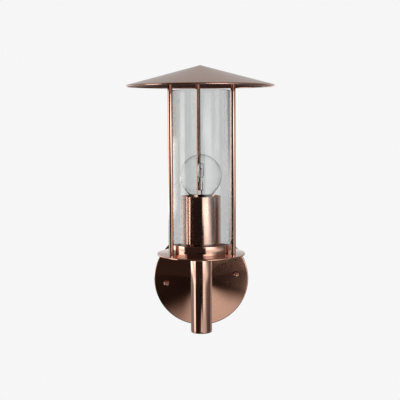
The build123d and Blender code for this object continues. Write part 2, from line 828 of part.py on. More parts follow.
# Earth lead: from the middle pole up to the back of the earth tag
tag_face = tag_back - lead_diameter / 2 - fit_gap
with BuildPart() as earth_lead:
    lead_tube([(0, -lead_depth, block_edge), (0, -lead_depth, lead_height + arm_bore),
               (0, -tag_face, tag_end - lead_diameter), (0, -tag_face, tag_end + tag_neck / 2)],
              post_room)
keep(earth_lead, "earth_lead")
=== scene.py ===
"""Outdoor wall light in brushed copper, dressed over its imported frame.

The lamp axis and the wall axis come from the frame's own boxes. Turned pieces are made as outlines
of radius and height in millimetres, and each stands on one of the two axes.
"""
import json
import logging
from dataclasses import dataclass, field
from enum import Enum
from math import atan, atan2, cos, hypot, pi, radians, sin, sqrt, tan
from typing import Callable, Iterable, Sequence

import bmesh
import bpy
from mathutils import Matrix, Vector


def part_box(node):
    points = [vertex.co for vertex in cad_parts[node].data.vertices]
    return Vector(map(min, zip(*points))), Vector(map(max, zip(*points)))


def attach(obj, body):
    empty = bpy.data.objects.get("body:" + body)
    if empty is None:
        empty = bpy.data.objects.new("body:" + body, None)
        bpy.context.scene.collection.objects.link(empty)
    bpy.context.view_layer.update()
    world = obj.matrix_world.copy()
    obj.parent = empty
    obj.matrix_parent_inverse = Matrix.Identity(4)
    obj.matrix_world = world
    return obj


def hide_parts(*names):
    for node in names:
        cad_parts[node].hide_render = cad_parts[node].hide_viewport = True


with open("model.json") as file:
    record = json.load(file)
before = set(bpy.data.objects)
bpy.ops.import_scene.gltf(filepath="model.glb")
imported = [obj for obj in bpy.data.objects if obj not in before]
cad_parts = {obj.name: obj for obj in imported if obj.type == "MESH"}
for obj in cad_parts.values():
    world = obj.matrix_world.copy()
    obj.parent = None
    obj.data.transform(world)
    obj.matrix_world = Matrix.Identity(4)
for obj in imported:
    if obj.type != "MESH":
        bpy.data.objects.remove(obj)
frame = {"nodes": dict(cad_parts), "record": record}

LOG = logging.getLogger("wall_light")
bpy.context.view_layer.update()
MM = 0.001
SIDES = 144
SHARP_ANGLE = radians(38)
# In millimetres: below the first a radius is a point on the axis, and the second tells two radii apart.
ON_AXIS = 1e-6
MARGIN = 0.1
UV_NAME = "turned"
RODS = ("rod_front_left", "rod_front_right", "rod_rear")
SLOTS = {row["node"]: row["material_slot"] for row in frame["record"]["subparts"]}
BODY_OF = {node: body for body, nodes in frame["record"]["behaviour"]["bodies"].items() for node in nodes}


def linear(colour: str) -> tuple[float, float, float, float]:
    """Turn an sRGB hex colour to linear light.

    Args:
        colour: six hex digits after a hash sign.

    Returns:
        Red, green and blue in linear light, with an alpha of 1.
    """
    channels = [int(colour[i:i + 2], 16) / 255 for i in (1, 3, 5)]
    red, green, blue = (c / 12.92 if c <= 0.04045 else ((c + 0.055) / 1.055) ** 2.4 for c in channels)
    return red, green, blue, 1.0


def add_node(tree: bpy.types.NodeTree, kind: str, inputs: dict | None = None,
             **settings: object) -> bpy.types.Node:
    """Add a node with its settings, values and links.

    Args:
        tree: node tree that takes the node.
        kind: Blender's name of the node type.
        inputs: value or source socket for each input, by its name or its number.
        settings: properties of the node itself.

    Returns:
        The new node.
    """
    node = tree.nodes.new(kind)
    for key, value in settings.items():
        setattr(node, key, value)
    for key, value in (inputs or {}).items():
        named = node.inputs[key] if isinstance(key, int) else next(
            socket for socket in node.inputs if socket.enabled and socket.name == key)
        if isinstance(value, bpy.types.NodeSocket):
            tree.links.new(value, named)
        else:
            named.default_value = value
    return node


# Frame readings


@dataclass(frozen=True)
class Extent:
    """Box of a frame node, in millimetres."""

    low: Vector
    high: Vector

    @classmethod
    def of(cls, node: str) -> "Extent":
        """Box of the named node."""
        low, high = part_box(node)
        return cls(low / MM, high / MM)

    @property
    def centre(self) -> Vector:
        """Middle of the box."""
        return (self.low + self.high) / 2

    @property
    def lamp_radius(self) -> float:
        """Radius of a round piece that stands on the lamp axis."""
        return (self.high.y - self.low.y) / 2

    @property
    def wall_radius(self) -> float:
        """Radius of a round piece that lies on the wall axis."""
        return (self.high.z - self.low.z) / 2

    @property
    def upright(self) -> Matrix:
        """World matrix that stands a piece upright through the middle of the box."""
        return Matrix.Translation(Vector((self.centre.x, self.centre.y, 0)) * MM)


class Spindle(Enum):
    """The two axes that turned pieces stand on."""

    LAMP = "upright through the lamp"
    WALL = "level out of the wall"

    def place(self) -> Matrix:
        """World matrix that stands a piece on the axis, with its own Z along it."""
        return Extent.of("hat").upright if self is Spindle.LAMP else Matrix.Rotation(pi / 2, 4, "X")


# Mesh making

Point = tuple[float, float]
Corner = tuple[float, float, float]
Form = Callable[[float, float, float], float]


def rounded(corners: Sequence[Corner], closed: bool = True, steps: int = 6) -> list[Point]:
    """Turn corners into an outline with its corners rounded.

    Args:
        corners: radius, height and rounding of each corner, in millimetres.
        closed: whether the last corner joins the first.
        steps: edges of each rounding.

    Returns:
        Points of radius and height.
    """
    outline: list[Point] = []
    count = len(corners)
    for i, (radius, height, rounding) in enumerate(corners):
        if rounding <= 0 or (not closed and i in (0, count - 1)):
            outline.append((radius, height))
            continue
        corner = Vector((radius, height))
        back = (Vector(corners[i - 1][:2]) - corner).normalized()
        ahead = (Vector(corners[(i + 1) % count][:2]) - corner).normalized()
        half = back.angle(ahead) / 2
        centre = corner + (back + ahead).normalized() * rounding / sin(half)
        start = corner + back * rounding / tan(half) - centre
        end = corner + ahead * rounding / tan(half) - centre
        swing = atan2(start.x * end.y - start.y * end.x, start.dot(end))
        for step in range(steps + 1):
            turn = Matrix.Rotation(swing * step / steps, 2)
            outline.append(tuple(centre + turn @ start))
    return outline


def upright_wall(outer: float, inner: float, box: Extent, roundings: Sequence[float]) -> list[Point]:
    """Outline of a plain upright wall.

    Args:
        outer: outer radius, in millimetres.
        inner: inner radius, in millimetres.
        box: box that gives the foot and the top.
        roundings: of the outer foot, outer top, inner top and inner foot.

    Returns:
        Points of radius and height.
    """
    low, high = box.low.z, box.high.z
    corners = ((outer, low), (outer, high), (inner, high), (inner, low))
    return rounded([(*corner, rounding) for corner, rounding in zip(corners, roundings)])


def dome(height: float, radius: float, start: float = 0.0, steps: int = 12) -> list[Point]:
    """Part of a circle up to its top on the axis.

    Args:
        height: height of the circle's centre, in millimetres.
        radius: radius of the circle, in millimetres.
        start: angle above the level where it starts, in radians.
        steps: edges up to the top.

    Returns:
        Points of radius and height.
    """
    angles = [start + (pi / 2 - start) * i / steps for i in range(steps)]
    return [(radius * cos(a), height + radius * sin(a)) for a in angles] + [(0.0, height + radius)]


def hexagon(angle: float, flat: float) -> float:
    """Distance from the centre of a hexagon to its side.

    Args:
        angle: direction, in radians.
        flat: distance to the middle of a side.

    Returns:
        Distance to the side in that direction.
    """
    sixth = pi / 3
    return flat / cos((angle + sixth / 2) % sixth - sixth / 2)


def turned(name: str, outline: Sequence[Point], closed: bool = True, sides: int = SIDES,
           form: Form | None = None) -> bpy.types.Mesh:
    """Turn an outline about its own Z axis.

    Args:
        name: name of the mesh.
        outline: radius and height of each point, in millimetres.
        closed: whether the last point joins the first.
        sides: number of sides round the axis.
        form: gives the radius at an angle, a radius and a height, for what isn't quite round.

    Returns:
        Smooth mesh with a UV map: millimetres along the outline, then round it.
    """
    bm = bmesh.new()
    uv = bm.loops.layers.uv.new(UV_NAME)
    angles = [2 * pi * side / sides for side in range(sides)]
    rings, lengths, run = [], [], 0.0
    for i, (radius, height) in enumerate(outline):
        run += hypot(radius - outline[i - 1][0], height - outline[i - 1][1]) if i else 0.0
        lengths.append(run)
        if radius < ON_AXIS:
            rings.append([bm.verts.new((0, 0, height * MM))] * sides)
            continue
        radii = [form(angle, radius, height) if form else radius for angle in angles]
        rings.append([bm.verts.new((r * cos(a) * MM, r * sin(a) * MM, height * MM))
                      for r, a in zip(radii, angles)])
    girth = 2 * pi * max(radius for radius, _ in outline)
    pairs = list(zip(range(len(rings)), range(1, len(rings))))
    if closed:
        pairs.append((len(rings) - 1, 0))
        lengths.append(run + hypot(outline[0][0] - outline[-1][0], outline[0][1] - outline[-1][1]))
    for first, second in pairs:
        near, far = lengths[first], lengths[second] if second else lengths[-1]
        for side in range(sides):
            after = (side + 1) % sides
            corners = [(rings[first][side], near, side), (rings[second][side], far, side),
                       (rings[second][after], far, side + 1), (rings[first][after], near, side + 1)]
            unique = [corner for i, corner in enumerate(corners) if corner[0] is not corners[i - 1][0]]
            if len(unique) < 3:
                continue
            face = bm.faces.new([corner[0] for corner in unique])
            for loop, (_, u, v) in zip(face.loops, unique):
                loop[uv].uv = (u, girth * v / sides)
    return finished(bm, name)


def finished(bm: bmesh.types.BMesh, name: str) -> bpy.types.Mesh:
    """Turn a bmesh into a mesh with outward normals, smooth but for its sharp edges.

    Args:
        bm: the bmesh, which is freed.
        name: name of the mesh.

    Returns:
        The new mesh.
    """
    bmesh.ops.recalc_face_normals(bm, faces=bm.faces)
    mesh = bpy.data.meshes.new(name)
    bm.to_mesh(mesh)
    bm.free()
    mesh.polygons.foreach_set("use_smooth", [True] * len(mesh.polygons))
    mesh.set_sharp_from_angle(angle=SHARP_ANGLE)
    return mesh


def swept(name: str, route: Sequence[Vector], radius: float, sides: int = 12) -> bpy.types.Mesh:
    """Round wire along a route.

    Args:
        name: name of the mesh.
        route: points in millimetres.
        radius: radius of the wire, in millimetres.
        sides: number of sides of the wire.

    Returns:
        Closed smooth mesh.
    """
    bm = bmesh.new()
    rings = []
    side_way = Vector((1, 0, 0))
    for i, point in enumerate(route):
        ahead = (route[min(i + 1, len(route) - 1)] - route[max(i - 1, 0)]).normalized()
        side_way = (side_way - ahead * side_way.dot(ahead)).normalized()
        other_way = ahead.cross(side_way)
        rings.append([bm.verts.new((point + radius * (side_way * cos(2 * pi * s / sides)
                                                      + other_way * sin(2 * pi * s / sides))) * MM)
                      for s in range(sides)])
    for near, far in zip(rings, rings[1:]):
        for s in range(sides):
            after = (s + 1) % sides
            bm.faces.new((near[s], far[s], far[after], near[after]))
    bm.faces.new(rings[0])
    bm.faces.new(reversed(rings[-1]))
    return finished(bm, name)


# Finishes

# The noise in every finish, and how the broad streaks of metal are wider and longer than the fine ones.
NOISE_DETAIL = 3.0
NOISE_ROUGHNESS = 0.6
BUMP_STRENGTH = 0.5
BROAD_PITCH = 9
BROAD_REACH = 2
STREAK_TONES = (0.7, 1.3)
SKIN_TONES = (0.3, 0.7)


class Grain(Enum):
    """Where a metal finish reads its grain from."""

    TURNED = "round the axis of a turned piece"
    PLAIN = "through the whole node, in its own space"


@dataclass(frozen=True)
class Finish:
    """What every finish has: the name of its material."""

    name: str

    def start(self) -> tuple[bpy.types.Material, bpy.types.NodeTree]:
        """Empty node material.

        Returns:
            The material and its node tree.
        """
        material = bpy.data.materials.new(self.name)
        material.use_nodes = True
        material.node_tree.nodes.clear()
        return material, material.node_tree

    def close(self, tree: bpy.types.NodeTree, surface: bpy.types.Node) -> None:
        """Join the surface shader to the material's output."""
        add_node(tree, "ShaderNodeOutputMaterial", {"Surface": surface.outputs[0]})

    def build(self) -> bpy.types.Material:
        """The material of this finish."""
        raise NotImplementedError


def grain(tree: bpy.types.NodeTree, where: Grain, pitch: float, reach: float) -> bpy.types.NodeSocket:
    """Streaks that run round a turned piece, or along a plain one.

    Args:
        tree: node tree of the material.
        where: how the streaks lie.
        pitch: width of a streak, in millimetres.
        reach: share of a turn that a streak keeps its tone for, on a turned piece.

    Returns:
        Socket with a value about 0.5, up and down by the streaks.
    """
    coordinates = add_node(tree, "ShaderNodeTexCoord")
    if where is Grain.TURNED:
        flat = add_node(tree, "ShaderNodeVectorMath", {0: coordinates.outputs["Object"], 1: (1, 1, 0)},
                        operation="MULTIPLY")
        circle = add_node(tree, "ShaderNodeVectorMath", {0: flat.outputs[0]}, operation="NORMALIZE")
        spread = add_node(tree, "ShaderNodeVectorMath", {0: circle.outputs[0], "Scale": 1 / reach},
                          operation="SCALE")
        along = add_node(tree, "ShaderNodeUVMap", uv_map=UV_NAME)
        length = add_node(tree, "ShaderNodeSeparateXYZ", {0: along.outputs[0]})
        rows = add_node(tree, "ShaderNodeMath", {0: length.outputs["X"], 1: 1 / pitch},
                        operation="MULTIPLY")
        rise = add_node(tree, "ShaderNodeCombineXYZ", {"Z": rows.outputs[0]})
        place = add_node(tree, "ShaderNodeVectorMath", {0: spread.outputs[0], 1: rise.outputs[0]})
    else:
        place = add_node(tree, "ShaderNodeVectorMath",
                         {0: coordinates.outputs["Object"], 1: (1 / pitch / MM,) * 3}, operation="MULTIPLY")
    noise = add_node(tree, "ShaderNodeTexNoise", {"Vector": place.outputs[0], "Scale": 1.0,
                                                  "Detail": NOISE_DETAIL, "Roughness": NOISE_ROUGHNESS})
    return noise.outputs[0]


def mottled(tree: bpy.types.NodeTree, share: bpy.types.NodeSocket, height: bpy.types.NodeSocket,
            tones: tuple[str, str], roughness: float, spread: float,
            relief: float) -> dict[str, object]:
    """Tone, gloss and relief that change together over a surface.

    Args:
        tree: node tree of the material.
        share: from 0 to 1, what tone and gloss follow.
        height: what the relief follows.
        tones: the two sRGB hex colours.
        roughness: roughness in the middle.
        spread: how far the roughness goes down and up.
        relief: depth of the relief, in millimetres.

    Returns:
        Sockets for base colour, roughness and normal, by the shader's names.
    """
    colour = add_node(tree, "ShaderNodeMix",
                      {"Factor": share, "A": linear(tones[0]), "B": linear(tones[1])}, data_type="RGBA")
    gloss = add_node(tree, "ShaderNodeMapRange", {"Value": share, "To Min": roughness - spread,
                                                  "To Max": roughness + spread})
    bump = add_node(tree, "ShaderNodeBump", {"Height": height, "Strength": BUMP_STRENGTH,
                                             "Distance": relief * MM})
    return {"Base Color": colour.outputs["Result"], "Roughness": gloss.outputs[0],
            "Normal": bump.outputs[0]}


@dataclass(frozen=True)
class WorkedMetal(Finish):
    """Bare or lacquered metal with streaks from the tool that finished it."""

    face: str
    streak: str
    roughness: float
    spread: float
    anisotropy: float = 0.0
    lacquer: float = 0.0
    lacquer_roughness: float = 0.05
    pitch: float = 1.2
    reach: float = 1.6
    groove: float = 0.004
    where: Grain = Grain.TURNED

    def build(self) -> bpy.types.Material:
        """Metal whose tone and gloss change from streak to streak, with shallow grooves.

        Returns:
            The new material.
        """
        material, tree = self.start()
        fine = grain(tree, self.where, self.pitch, self.reach)
        broad = grain(tree, self.where, self.pitch * BROAD_PITCH, self.reach * BROAD_REACH)
        tone = add_node(tree, "ShaderNodeMath", {0: fine, 1: broad}, operation="ADD")
        share = add_node(tree, "ShaderNodeMapRange",
                         {"Value": tone.outputs[0], "From Min": STREAK_TONES[0],
                          "From Max": STREAK_TONES[1]})
        inputs = mottled(tree, share.outputs[0], fine, (self.face, self.streak), self.roughness,
                         self.spread, self.groove)
        inputs |= {"Metallic": 1.0, "Anisotropic": self.anisotropy, "Coat Weight": self.lacquer,
                   "Coat Roughness": self.lacquer_roughness}
        if self.where is Grain.TURNED and self.anisotropy:
            way = add_node(tree, "ShaderNodeTangent", direction_type="UV_MAP", uv_map=UV_NAME)
            inputs["Tangent"] = way.outputs[0]
        self.close(tree, add_node(tree, "ShaderNodeBsdfPrincipled", inputs))
        return material


@dataclass(frozen=True)
class ClearGlass(Finish):
    """Clear glass with a faint grey body."""

    body: str
    ior: float
    roughness: float = 0.0
    ripple: float = 0.0
    ripple_pitch: float = 30.0

    def build(self) -> bpy.types.Material:
        """Refracting glass, with the slow ripple that drawing or blowing leaves.

        Returns:
            The new material.
        """
        material, tree = self.start()
        inputs = {"Base Color": linear(self.body), "Roughness": self.roughness, "IOR": self.ior,
                  "Transmission Weight": 1.0}
        if self.ripple:
            wave = grain(tree, Grain.PLAIN, self.ripple_pitch, 1.0)
            bump = add_node(tree, "ShaderNodeBump", {"Height": wave, "Strength": 1.0,
                                                     "Distance": self.ripple * MM})
            inputs["Normal"] = bump.outputs[0]
        self.close(tree, add_node(tree, "ShaderNodeBsdfPrincipled", inputs))
        return material


@dataclass(frozen=True)
class Moulded(Finish):
    """Moulded or pressed stuff with a fine skin: rubber, plastic or ceramic."""

    face: str
    fleck: str
    roughness: float
    spread: float = 0.06
    pitch: float = 0.8
    relief: float = 0.01
    coat: float = 0.0
    glow: float = 0.0

    def build(self) -> bpy.types.Material:
        """Plain body with a mottled tone, uneven gloss and a fine skin.

        Returns:
            The new material.
        """
        material, tree = self.start()
        skin = grain(tree, Grain.PLAIN, self.pitch, 1.0)
        share = add_node(tree, "ShaderNodeMapRange", {"Value": skin, "From Min": SKIN_TONES[0],
                                                      "From Max": SKIN_TONES[1]})
        inputs = mottled(tree, share.outputs[0], skin, (self.face, self.fleck), self.roughness,
                         self.spread, self.relief)
        inputs |= {"Coat Weight": self.coat, "Subsurface Weight": self.glow}
        self.close(tree, add_node(tree, "ShaderNodeBsdfPrincipled", inputs))
        return material


@dataclass(frozen=True)
class StripedLead(Finish):
    """Extruded insulation in two colours, green with a yellow stripe."""

    face: str
    stripe: str
    roughness: float = 0.4
    stripe_start: float = 0.2

    def build(self) -> bpy.types.Material:
        """Insulation whose stripe lies along one side of the lead.

        Returns:
            The new material.
        """
        material, tree = self.start()
        geometry = add_node(tree, "ShaderNodeNewGeometry")
        side = add_node(tree, "ShaderNodeSeparateXYZ", {0: geometry.outputs["Normal"]})
        edge = add_node(tree, "ShaderNodeMath", {0: side.outputs["X"], 1: self.stripe_start},
                        operation="GREATER_THAN")
        colour = add_node(tree, "ShaderNodeMix",
                          {"Factor": edge.outputs[0], "A": linear(self.face), "B": linear(self.stripe)},
                          data_type="RGBA")
        self.close(tree, add_node(tree, "ShaderNodeBsdfPrincipled",
                                  {"Base Color": colour.outputs["Result"], "Roughness": self.roughness}))
        return material


# The grit lines of brushed and drawn copper are near 0.1 mm, too fine to show, so they are drawn 0.4 mm
# wide or more. Lacquer on the copper whitens it where it is seen at a low angle.
FINISHES: dict[str, Finish] = {
    # Brushed on a lathe: light fans out from the middle of a disc in sharp wedges.
    "copper_brushed": WorkedMetal("brushed copper", "#EEB79C", "#E6AD91", 0.075, 0.008, anisotropy=1.0,
                                  lacquer=1.0, pitch=0.4, groove=0.0003),
    # Drawn and fine brushed: straight stripes of light and dark down a tube.
    "copper_tube": WorkedMetal("drawn copper tube", "#EEBFA9", "#E6B69F", 0.08, 0.01, anisotropy=0.5,
                               lacquer=1.0, lacquer_roughness=0.04, pitch=0.4, groove=0.0002),
    # Spun over a form: a softer, greyer sheen with faint rings.
    "copper_hat": WorkedMetal("spun copper", "#EEBFA9", "#E6B69F", 0.2, 0.02, anisotropy=0.6, lacquer=1.0,
                              lacquer_roughness=0.15, pitch=0.6, groove=0.0006),
    # Polished plate on the nuts: small bright points in a dark body.
    "copper_polished": WorkedMetal("polished copper plate", "#EEBFA9", "#E9B9A3", 0.08, 0.02, lacquer=0.6,
                                   groove=0.0002),
    # Zinc plated sheet: flat grey with a dull, cloudy shine.
    "zinc_steel": WorkedMetal("zinc plated steel", "#B9BAB8", "#A5A7A6", 0.36, 0.06, pitch=2.0,
                              where=Grain.PLAIN),
    # Turned brass: warm yellow, half bright.
    "brass_turned": WorkedMetal("turned brass", "#D9BE86", "#C4A66C", 0.26, 0.05, where=Grain.PLAIN),
    # Rolled cap: pale, with a soft shine along its thread.
    "cap_alloy": WorkedMetal("rolled aluminium", "#D8D8D6", "#C6C6C4", 0.3, 0.05, where=Grain.PLAIN),
    # Drawn wire: dark grey and nearly matt.
    "tungsten_wire": WorkedMetal("drawn tungsten", "#6E6C6C", "#565454", 0.34, 0.05, pitch=0.6,
                                 where=Grain.PLAIN),
    # Drawn tube: faint grey body and strong upright reflections, as of a dense glass, slightly wavy.
    "clear_glass": ClearGlass("drawn glass", "#E9EAEA", ior=1.6, ripple=0.004),
    # Blown thin: almost unseen but for its outline, which low refraction keeps faint.
    "bulb_glass": ClearGlass("blown glass", "#FFFFFF", ior=1.2, ripple=0.05, ripple_pitch=5.0),
    # Fused quartz: colourless, with bright edges.
    "quartz": ClearGlass("fused quartz", "#FFFFFF", ior=1.46),
    # Pressed glass: black and glossy.
    "black_glass": Moulded("pressed black glass", "#0B0B0C", "#141416", 0.12, 0.03),
    # Moulded rubber: dull black with a fine skin.
    "epdm_rubber": Moulded("moulded rubber", "#1C1C1D", "#262627", 0.62, pitch=0.6, relief=0.03),
    # Moulded silicone: milky, and light goes in a little.
    "silicone": Moulded("moulded silicone", "#C9CAC6", "#BEBFBB", 0.42, glow=0.15),
    # Moulded phenolic: near black with a hard shine.
    "phenolic": Moulded("moulded phenolic", "#151413", "#1D1C1A", 0.24, 0.05, coat=0.3),
    # Pressed and glazed ceramic: cream with a thin glaze.
    "steatite": Moulded("pressed steatite", "#E3DDCB", "#D6CFBC", 0.36, pitch=0.5, coat=0.2),
    # Moulded nylon: white and waxy.
    "polyamide": Moulded("moulded polyamide", "#E4E3DE", "#DAD9D3", 0.46, glow=0.1),
    # Extruded insulation: plain colour with a satin skin.
    "lead_brown": Moulded("brown insulation", "#4F2C19", "#5A3420", 0.4),
    "lead_blue": Moulded("blue insulation", "#2A5E9E", "#24548F", 0.4),
    "lead_earth": StripedLead("earth insulation", "#3E8A35", "#D8C52E"),
}


@dataclass
class Palette:
    """Materials by the record's slot, each built once."""

    made: dict[str, bpy.types.Material] = field(default_factory=dict)

    def material(self, slot: str) -> bpy.types.Material:
        """Material of a slot.

        Args:
            slot: name of the slot in the record.

        Returns:
            The one material of that slot.
        """
        if slot not in self.made:
            self.made[slot] = FINISHES[slot].build()
        return self.made[slot]


# Sub-assemblies


@dataclass
class SubAssembly:
    """A group of pieces that is built and dressed together."""

    palette: Palette

    def dress(self, *nodes: str) -> None:
        """Give frame nodes the material of their slot.

        Args:
            nodes: names of the frame nodes.
        """
        for name in nodes:
            mesh = frame["nodes"][name].data
            mesh.materials.clear()
            mesh.materials.append(self.palette.material(SLOTS[name]))
            LOG.info("dressed node %s", name)

    def stand_in(self, mesh: bpy.types.Mesh, node: str, place: Matrix, name: str | None = None,
                 slot: str | None = None) -> bpy.types.Object:
        """Stand a mesh in for a frame node.

        Args:
            mesh: mesh of the piece, in its own space.
            node: frame node that the piece replaces and whose body it rides on.
            place: world matrix of the piece.
            name: name of the piece, where a node has more than one.
            slot: material slot, where it isn't the node's own.

        Returns:
            The new object.
        """
        piece = bpy.data.objects.new(name or f"{node}_piece", mesh)
        bpy.context.scene.collection.objects.link(piece)
        piece.matrix_world = place
        finish = slot or SLOTS[node]
        mesh.materials.append(self.palette.material(finish))
        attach(piece, BODY_OF[node])
        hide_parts(node)
        LOG.info("built %s for node %s, %d faces", piece.name, node, len(mesh.polygons))
        return piece

    def turn(self, node: str, outline: Sequence[Point], closed: bool = True, sides: int = SIDES,
             form: Form | None = None, spindle: Spindle = Spindle.LAMP) -> None:
        """Turn a piece that stands in for a frame node on one of the two axes.

        Args:
            node: frame node, whose name the mesh takes.
            outline: radius and height of each point, in millimetres.
            closed: whether the last point joins the first.
            sides: number of sides round the axis.
            form: radius at an angle, a radius and a height, for what isn't quite round.
            spindle: axis that the piece stands on.
        """
        self.stand_in(turned(node, outline, closed, sides, form), node, spindle.place())

    def build(self) -> None:
        """Build and dress every piece of the group."""
        raise NotImplementedError


@dataclass
class WallPlate(SubAssembly):
    """Round dished plate on the wall, with its two cap nuts."""

    sheet: float = 1.2
    cone_rise: float = 4.0
    front_rounding: float = 1.5
    rim_rounding: float = 0.35
    nut_flat: float = 3.5
    nut_base: float = 3.2
    nut_dome: float = 3.2
    nut_chamfer: float = 0.35
    seat_recess: float = 0.2

    def plate(self) -> None:
        """Spun dish with a shallow cone for its front and a small rounding round it."""
        box = Extent.of("wall_plate")
        radius, back, front = box.wall_radius, -box.high.y, -box.low.y
        hole = Extent.of("arm").high.x
        inner, slope = radius - self.sheet, self.cone_rise / radius
        outline = rounded([
            (radius, back, self.rim_rounding),
            (radius, front - (radius - hole) * slope, self.front_rounding),
            (hole, front, 0), (hole, front - self.sheet, 0),
            (inner, front - self.sheet - (inner - hole) * slope, self.front_rounding - self.sheet),
            (inner, back, self.rim_rounding)], steps=8)
        self.turn("wall_plate", outline, sides=2 * SIDES, spindle=Spindle.WALL)

    def cap_nuts(self) -> None:
        """Hexagon with a chamfer, a collar and a dome, twice."""
        box = Extent.of("cap_nuts")
        seat, tip = -box.high.y, -box.low.y
        collar = tip - self.nut_dome
        corner = hexagon(pi / 6, self.nut_flat)
        face = seat + self.nut_base
        outline = [(self.nut_flat - self.nut_chamfer, seat), (corner, seat + self.nut_chamfer),
                   (corner, face - self.nut_chamfer), (self.nut_flat - self.nut_chamfer / 2, face),
                   (self.nut_dome + self.seat_recess, face), (self.nut_dome, face + self.seat_recess)]
        outline = [(0.0, seat), *outline, *dome(collar, self.nut_dome)]

        def hexed(angle: float, radius: float, height: float) -> float:
            """Radius of the nut: the hexagon up to its face, and round above it."""
            return min(radius, hexagon(angle, self.nut_flat)) if height <= face else radius

        for side, name in ((-1, "cap_nut_left"), (1, "cap_nut_right")):
            shift = Vector((side * (box.high.x - corner), 0, side * (box.high.z - corner))) * MM
            mesh = turned(name, outline, closed=False, sides=72, form=hexed)
            self.stand_in(mesh, "cap_nuts", Matrix.Translation(shift) @ Spindle.WALL.place(), name)

    def build(self) -> None:
        """Plate and nuts, then the seals as the frame has them."""
        self.plate()
        self.cap_nuts()
        self.dress("stud_washers", "wall_gasket")


@dataclass
class WallFittings(SubAssembly):
    """Bracket, strap, terminal block and leads behind the plate."""

    def build(self) -> None:
        """Dress what the frame holds behind the plate."""
        self.dress("wall_bracket", "bracket_studs", "cable_grommet", "backing_strap", "terminal_block",
                   "terminal_screws", "block_screw", "earth_tag", "earth_screw", "live_lead",
                   "neutral_lead", "earth_lead")


@dataclass
class ArmAndPost(SubAssembly):
    """Arm out of the wall and the upright post that the lamp stands on."""

    wall: float = 1.5
    foot_rounding: float = 1.6
    head_rounding: float = 0.3
    seam: float = 0.25
    square_end: float = 1.0

    def post(self) -> None:
        """Drawn tube, with a fine seam to its cap."""
        box = Extent.of("post")
        self.turn("post", upright_wall(box.lamp_radius, box.lamp_radius - self.wall, box,
                                       (self.seam, self.head_rounding, self.head_rounding, 0)))

    def post_cap(self) -> None:
        """Plug with a rounded foot."""
        box, post = Extent.of("post_cap"), Extent.of("post")
        radius, spigot = box.lamp_radius, post.lamp_radius - self.wall
        outline = rounded([
            (0, box.low.z, 0), (radius, box.low.z, self.foot_rounding), (radius, post.low.z, self.seam),
            (spigot, post.low.z, 0), (spigot, box.high.z, self.head_rounding), (0, box.high.z, 0)],
            closed=False, steps=8)
        self.turn("post_cap", outline, closed=False)

    def arm(self) -> None:
        """Level tube from inside the plate to the post, its end shaped round the post."""
        box = Extent.of("arm")
        radius, start = box.wall_radius, -box.high.y
        post = Extent.of("post")
        reach = -post.centre.y

        def meets(angle: float, across: float) -> float:
            """Distance from the wall where the arm meets the post, across from the middle."""
            return reach - sqrt(post.lamp_radius ** 2 - (across * cos(angle)) ** 2)

        mesh = turned("arm", [(radius, start), (radius, reach), (radius - self.wall, reach),
                              (radius - self.wall, start)])
        for vertex in mesh.vertices:
            if vertex.co.z > (start + self.square_end) * MM:
                across = hypot(vertex.co.x, vertex.co.y) / MM
                vertex.co.z = meets(atan2(vertex.co.y, vertex.co.x), across) * MM
        self.stand_in(mesh, "arm", Spindle.WALL.place())

    def build(self) -> None:
        """Arm, post and cap, then the hidden ties."""
        self.arm()
        self.post()
        self.post_cap()
        self.dress("post_plug", "nipple", "nipple_nuts")


@dataclass
class Tray(SubAssembly):
    """Base disc with the ring that keeps the glass."""

    disc_rounding: float = 0.6
    ring_wall: float = 1.5
    ring_rounding: float = 0.45
    ring_foot_rounding: float = 0.1
    head_radius: float = 3.5
    head_rounding: float = 0.9
    socket_flat: float = 1.25
    socket_depth: float = 1.3
    shank_radius: float = 2.0
    shank_rounding: float = 0.3

    def disc(self) -> None:
        """Flat turned disc with softened edges and a hole for the nipple."""
        box = Extent.of("base_disc")
        hole = Extent.of("nipple").lamp_radius
        outline = rounded([
            (hole, box.low.z, 0), (box.lamp_radius, box.low.z, self.disc_rounding),
            (box.lamp_radius, box.high.z, self.disc_rounding), (hole, box.high.z, 0)])
        self.turn("base_disc", outline, sides=2 * SIDES)

    def ring(self) -> None:
        """Low band with a rounded rim."""
        box = Extent.of("glass_ring")
        roundings = (self.ring_foot_rounding, self.ring_rounding, self.ring_rounding, 0)
        outline = upright_wall(box.lamp_radius, box.lamp_radius - self.ring_wall, box, roundings)
        self.turn("glass_ring", outline, sides=2 * SIDES)

    def rod_screws(self) -> None:
        """Three button heads with hexagon sockets, and their shanks, under the disc."""
        box = Extent.of("rod_screws")
        head_top = Extent.of("base_disc").low.z
        socket_floor = box.low.z + self.socket_depth
        corner = hexagon(pi / 6, self.socket_flat)
        outline = [(0, socket_floor), (corner, socket_floor), (corner, box.low.z)]
        outline += rounded([(corner, box.low.z, 0), (self.head_radius, box.low.z, self.head_rounding),
                            (self.head_radius, head_top, 0), (self.shank_radius, head_top, 0),
                            (self.shank_radius, box.high.z, self.shank_rounding),
                            (0, box.high.z, 0)], closed=False)[1:]

        def socketed(angle: float, radius: float, height: float) -> float:
            """Hexagon for the socket, round elsewhere."""
            return hexagon(angle, self.socket_flat) if MARGIN < radius <= corner else radius

        for name in RODS:
            screw = f"{name}_screw"
            mesh = turned(screw, outline, closed=False, sides=48, form=socketed)
            self.stand_in(mesh, "rod_screws", Extent.of(name).upright, screw)

    def build(self) -> None:
        """Disc, ring and screws, then the seat as the frame has it."""
        self.disc()
        self.ring()
        self.rod_screws()
        self.dress("seat_gasket")


